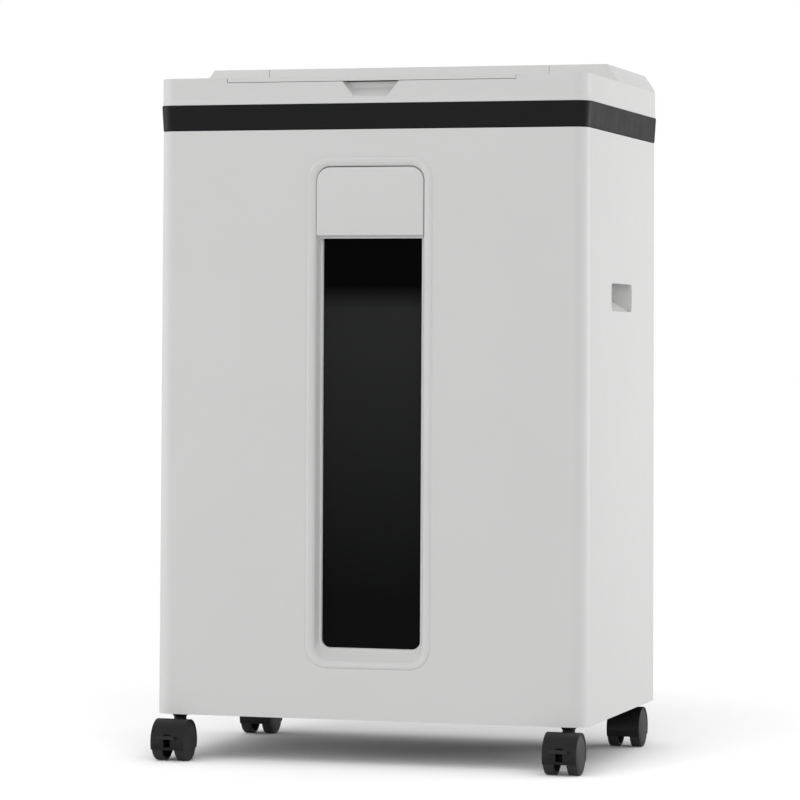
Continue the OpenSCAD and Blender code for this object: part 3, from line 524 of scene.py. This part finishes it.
def around(out, z):
    """The cabinet's outline from above, moved out."""
    x, y0, y1 = half_w + out, front_y - out, back_y + out
    f, r = FRONT_R + out, REAR_R + out
    flat = (arc((x - f, y0 + f), f, -90, 0, CORNER_STEPS)
            + arc((x - r, y1 - r), r, 0, 90, CORNER_STEPS)
            + arc((r - x, y1 - r), r, 90, 180, CORNER_STEPS)
            + arc((f - x, y0 + f), f, 180, 270, CORNER_STEPS))
    return [(px, py, z) for px, py in flat]


# Section of the band: how far it stands outside the cabinet, and height above its foot.
BAND = [(-3.6, 0.6), (-0.9, 0.6), (-0.55, 0.7), (-0.35, 0.95), (-0.28, 1.3), (1.12, 23.9),
        (1.1, 24.4), (0.9, 24.75), (0.5, 24.9), (-3.6, 24.9)]
# Foot of the head's wall, which flares out onto the band.
FLARE = [(-1.5, 0.05), (0.95, 0.05), (1.0, 0.3), (0.72, 1.3), (0.45, 2.5), (0.22, 3.8),
         (0.07, 5.1), (0.0, 6.1), (-0.3, 6.3), (-1.5, 6.3)]


def trim_band():
    """Two rings round the cabinet: the black band, and the foot of the head above it."""
    for name, slot, section, foot, node in (
            ("band_skin", "black_trim", BAND, band_low.z, ["trim_band"]),
            ("head_flare", "white_shell", FLARE, band_high.z, [])):
        shape = Shape()
        rings = shape.loft([around(out, foot + z) for out, z in section])
        shape.skin(rings[-1], rings[0])
        piece = shape.made(name, "cabinet", slot, *node)
        even_shading(piece)


# ---------------------------------------------------------------- casters

# Section of a wheel: radius, and distance from the middle of the caster. The inner
# side is hollow round the hub, the outer side is a slightly domed disc in a rim.
WHEEL = [(3.1, 6.3), (7.0, 6.3), (7.2, 6.5), (7.4, 13.4), (7.7, 13.7), (15.9, 13.7), (16.3, 13.4),
         (16.9, 6.6), (17.1, 6.35), (18.3, 6.25), (18.9, 6.45), (19.2, 6.9), (19.25, 7.6),
         (19.25, 15.3), (19.1, 16.0), (18.7, 16.45), (18.1, 16.65), (17.5, 16.65), (17.2, 16.5),
         (17.05, 16.2), (16.7, 16.15), (16.4, 16.35), (16.1, 16.6), (13.0, 16.8), (8.0, 16.95),
         (3.0, 17.02), (0.02, 17.03), (0.02, 15.7), (3.1, 15.7)]
# Section of the collar round the stem: radius, and height.
COLLAR = [(5.9, 0), (6.1, 0), (6.4, 0.9), (7.2, 1.8), (7.6, 2.5), (7.6, 3.3), (7.3, 3.6), (5.9, 3.6)]


COLLAR_H = 3.6
STEM_R = 5.0


def casters():
    """Wheels in place of the plain CAD ones, and a collar round each stem."""
    for corner in ("fl", "fr", "rl", "rr"):
        left_low, _ = cad(f"caster_{corner}_wheel_l")
        _, right_high = cad(f"caster_{corner}_wheel_r")
        centre = (left_low + right_high) / 2
        for letter, side in (("l", -1), ("r", 1)):
            node = f"caster_{corner}_wheel_{letter}"
            shape = Shape()
            shape.turned([(r, side * p) for r, p in WHEEL], centre, count=56)
            wheel = shape.made(node + "_skin", node, "caster_tread", node)
            crisp(wheel, 50)
        _, pins_high = cad(f"caster_{corner}_pins")
        foot = Vector((centre.x, pins_high.y - STEM_R, under_z - 0.35 - COLLAR_H))
        collar = Shape()
        collar.turned(COLLAR, foot, axis="z", count=40)
        collar.made(f"caster_{corner}_collar", f"caster_{corner}", "caster_nylon")


# ---------------------------------------------------------------- inside

TEETH = 9
DISCS = 46
PITCH = 5.0
DISC_HALF = 1.1     # half a disc's thickness
DISC_TURN = 0.27    # each disc is turned on by this share of a hook
CORE_R = 12.5       # between the discs
SHAFT_R = 8.0
# One hook of a cutting disc: radius, and share of the way to the next hook.
HOOK = [(18.45, 0.0), (17.9, 0.02), (16.3, 0.05), (15.9, 0.14), (16.2, 0.30), (17.4, 0.78)]


def cutter(node, body, turn, shift):
    """A cutting cylinder. Turn is the way its hooks point, shift its discs' place between
    those of the other cylinder."""
    low, high = cad(node)
    y, z = (low.y + high.y) / 2, (low.z + high.z) / 2
    end = DISCS * PITCH / 2 + 3
    chamfer = 0.4
    shape = Shape()
    shape.turned([(0.02, low.x), (SHAFT_R - chamfer, low.x), (SHAFT_R, low.x + chamfer),
                  (SHAFT_R, -end), (CORE_R, -end), (CORE_R, end), (SHAFT_R, end),
                  (SHAFT_R, high.x - chamfer), (SHAFT_R - chamfer, high.x), (0.02, high.x)],
                 Vector((0, y, z)))
    for k in range(DISCS):
        x = (k - (DISCS - 1) / 2) * PITCH + shift
        outline = []
        for tooth in range(TEETH):
            for r, share in HOOK:
                a = turn * 2 * math.pi * (tooth + share + k * DISC_TURN) / TEETH
                outline.append((r * math.cos(a), r * math.sin(a)))
        rings = shape.loft([[(x + side, y + p, z + q) for p, q in outline]
                            for side in (-DISC_HALF, DISC_HALF)])
        shape.cap(rings[0])
        shape.cap(rings[1])
    piece = shape.made(node + "_skin", body, "cutter_steel", node)
    crisp(piece, 30)


FIN_STEP = 12               # degrees from fin to fin
FIN_SPAN = (-100, -2)       # along the motor
# Section of a fin: radius, and half its thickness there.
FIN = [(32.5, 1.1), (35.2, 0.8), (35.6, 0.45)]


def motor_fins():
    """Cooling fins round the motor, except where its mount and its terminals are."""
    low, high = cad("motor_pinion")
    axis = Vector((0, (low.y + high.y) / 2, (low.z + high.z) / 2))
    shape = Shape()
    for k in range(360 // FIN_STEP):
        a = math.radians(FIN_STEP * k)
        if not -0.75 <= math.sin(a) <= 0.9:
            continue
        across = Vector((0, -math.sin(a), math.cos(a)))
        out = Vector((0, math.cos(a), math.sin(a)))
        left, right = (Vector((x, 0, 0)) for x in FIN_SPAN)
        rings = []
        for r, half in FIN:
            at = axis + out * r
            side = across * half
            rings.append([at + side + left, at - side + left, at - side + right, at + side + right])
        made = shape.loft(rings)
        shape.cap(made[0])
        shape.cap(made[-1])
    shape.made("motor_fins", "cabinet", "motor_paint")


# Section of a button: radius, and depth below its crown.
BUTTON = [(0.02, 0.55), (2.5, 0.45), (4.6, 0.18), (5.6, 0.0), (6.1, 0.05), (6.4, 0.3), (6.5, 0.7),
          (6.5, 5.1), (8.0, 5.1), (8.0, 6.3), (6.5, 6.3), (6.5, 8.4), (0.02, 8.4)]


def buttons():
    """Crowned caps on stems in place of the plain CAD ones."""
    for node, slot in (("start_button", "button_green"), ("stop_button", "button_red"),
                       ("reverse_button", "button_grey")):
        low, high = cad(node)
        shape = Shape()
        top = Vector(((low.x + high.x) / 2, (low.y + high.y) / 2, high.z))
        shape.turned([(r, -d) for r, d in BUTTON], top, axis="z")
        piece = shape.made(node + "_skin", node, slot, node)
        crisp(piece, 40)


# ---------------------------------------------------------------- CAD nodes that stay

# How much a sharp edge is rounded on the larger pieces, and on all others.
ROUNDING = {"head_cover": 0.35, "lid": 0.35, "hand_holds": 0.5, "base_pan": 0.6,
            "stack_tray": 0.6, "control_panel": 0.35, "bin_tub": 0.7, "motor": 0.8,
            "bin_window": 0.5, "machine_deck": 0.4, "cutter_side_plates": 0.4}
SMALL = 0.2


def dress_cad_nodes():
    for name, obj in nodes.items():
        obj.data.materials.clear()
        obj.data.materials.append(finishes[slots[name]])
        for poly in obj.data.polygons:
            poly.use_smooth = True
        modifier(obj, "WELD", merge_threshold=1e-5)
        if name == "back_panel":
            # rounding would tear the faces between its rows of slots
            crisp(obj, SHARP)
        elif name.endswith(("_hood", "_brake")):
            soften(obj, 0.55, 3)
        else:
            soften(obj, ROUNDING.get(name, SMALL))


dress_cad_nodes()
front_panel()
grip()
side_panel("right_side_skin", "right_side_panel", 1)
side_panel("left_side_skin", "left_side_panel", -1)
trim_band()
casters()
cutter("front_cutter", "front_cutter", 1, -1.25)
cutter("rear_cutter", "rear_cutter", -1, 1.25)
motor_fins()
buttons()


# ---------------------------------------------------------------- studio

def area_light(name, spot, aim, size, power):
    """A soft box that looks from its spot towards its aim, in metres and watts."""
    data = bpy.data.lights.new(name, "AREA")
    data.shape = "RECTANGLE"
    data.size, data.size_y = size
    data.energy = power
    obj = bpy.data.objects.new(name, data)
    bpy.context.scene.collection.objects.link(obj)
    obj.location = spot
    obj.rotation_euler = (Vector(aim) - Vector(spot)).to_track_quat("-Z", "Y").to_euler()


def graph(tree, operation, *values):
    """A Math node; each value is a number or another node's output."""
    made = tree.nodes.new("ShaderNodeMath")
    made.operation = operation
    for socket, value in zip(made.inputs, values):
        if isinstance(value, (int, float)):
            socket.default_value = value
        else:
            tree.links.new(value, socket)
    return made.outputs[0]


FLOOR_SIDE = 60.0
DOME = 0.62         # strength overhead
DOME_LOW = 0.6      # added at the horizon
DOME_AHEAD = 0.75   # and added again towards the front, taken away towards the back


def backdrop(scene):
    """White where the camera looks past the floor. For everything else a soft dome that is
    brightest low down and in front."""
    world = bpy.data.worlds.new("studio")
    scene.world = world
    world.use_nodes = True
    tree = world.node_tree
    dome = tree.nodes["Background"]
    dome.inputs["Color"].default_value = (1, 1, 1, 1)
    split = tree.nodes.new("ShaderNodeSeparateXYZ")
    tree.links.new(tree.nodes.new("ShaderNodeTexCoord").outputs["Generated"], split.inputs[0])
    height = graph(tree, "MAXIMUM", split.outputs["Z"], 0)
    low = graph(tree, "POWER", graph(tree, "SUBTRACT", 1, height), 3)
    ahead = graph(tree, "MULTIPLY_ADD", split.outputs["Y"], -DOME_AHEAD, DOME_LOW)
    tree.links.new(graph(tree, "MULTIPLY_ADD", low, ahead, DOME), dome.inputs["Strength"])
    seen = tree.nodes.new("ShaderNodeBackground")
    seen.inputs["Color"].default_value = (1, 1, 1, 1)
    path = tree.nodes.new("ShaderNodeLightPath")
    mix = tree.nodes.new("ShaderNodeMixShader")
    tree.links.new(path.outputs["Is Camera Ray"], mix.inputs["Fac"])
    tree.links.new(dome.outputs["Background"], mix.inputs[1])
    tree.links.new(seen.outputs["Background"], mix.inputs[2])
    tree.links.new(mix.outputs["Shader"], tree.nodes["World Output"].inputs["Surface"])


def floor_with_light(scene):
    """A sheet of white paper. A light of its own, which the object doesn't receive, burns
    it out to white and leaves the shadow. It sends little light back to the object."""
    mesh = bpy.data.meshes.new("floor")
    half = FLOOR_SIDE / 2
    mesh.from_pydata([(-half, -half, 0), (half, -half, 0), (half, half, 0), (-half, half, 0)],
                     [], [(0, 1, 2, 3)])
    floor = bpy.data.objects.new("floor", mesh)
    scene.collection.objects.link(floor)
    paper = Finish("floor", (0.97, 0.97, 0.97), 0.8, Specular_IOR_Level=0.0)
    path = paper.node("ShaderNodeLightPath")
    paper.link(paper.mixed(path.outputs["Is Camera Ray"], (0.45, 0.45, 0.45), (0.97, 0.97, 0.97)),
               paper.shader.inputs["Base Color"])
    mesh.materials.append(paper.mat)

    lit = bpy.data.collections.new("floor_only")
    lit.objects.link(floor)
    data = bpy.data.lights.new("floor_light", "SUN")
    data.angle = math.radians(85)
    data.energy = 2.3
    sun = bpy.data.objects.new("floor_light", data)
    scene.collection.objects.link(sun)
    sun.rotation_euler = Vector((-0.05, 1, -0.55)).to_track_quat("-Z", "Y").to_euler()
    sun.light_linking.receiver_collection = lit


def studio():
    scene = bpy.context.scene
    scene.view_settings.view_transform = "Standard"
    backdrop(scene)
    floor_with_light(scene)
    area_light("right", (1.6, 0.85, 0.42), (0.2, 0.05, 0.4), (1.0, 0.7), 9)
    area_light("left", (-2.4, -0.4, 0.4), (-0.2, 0, 0.4), (1.4, 0.7), 10)


def camera():
    """The photo's view: from a little to the right and just below the top, from afar."""
    data = bpy.data.cameras.new("camera")
    data.sensor_width = 36
    data.lens = 167.2
    data.clip_end = 100
    obj = bpy.data.objects.new("camera", data)
    bpy.context.scene.collection.objects.link(obj)
    yaw, pitch, roll = (math.radians(a) for a in (16.273, -0.822, 0.293))
    turn = Euler((0, 0, yaw)).to_matrix() @ Euler((math.pi / 2 + pitch, 0, 0)).to_matrix()
    turn = turn @ Euler((0, 0, roll)).to_matrix()
    obj.matrix_world = Matrix.Translation((1.0230, -3.53325, 0.4022)) @ turn.to_4x4()
    bpy.context.scene.camera = obj


camera()
studio()
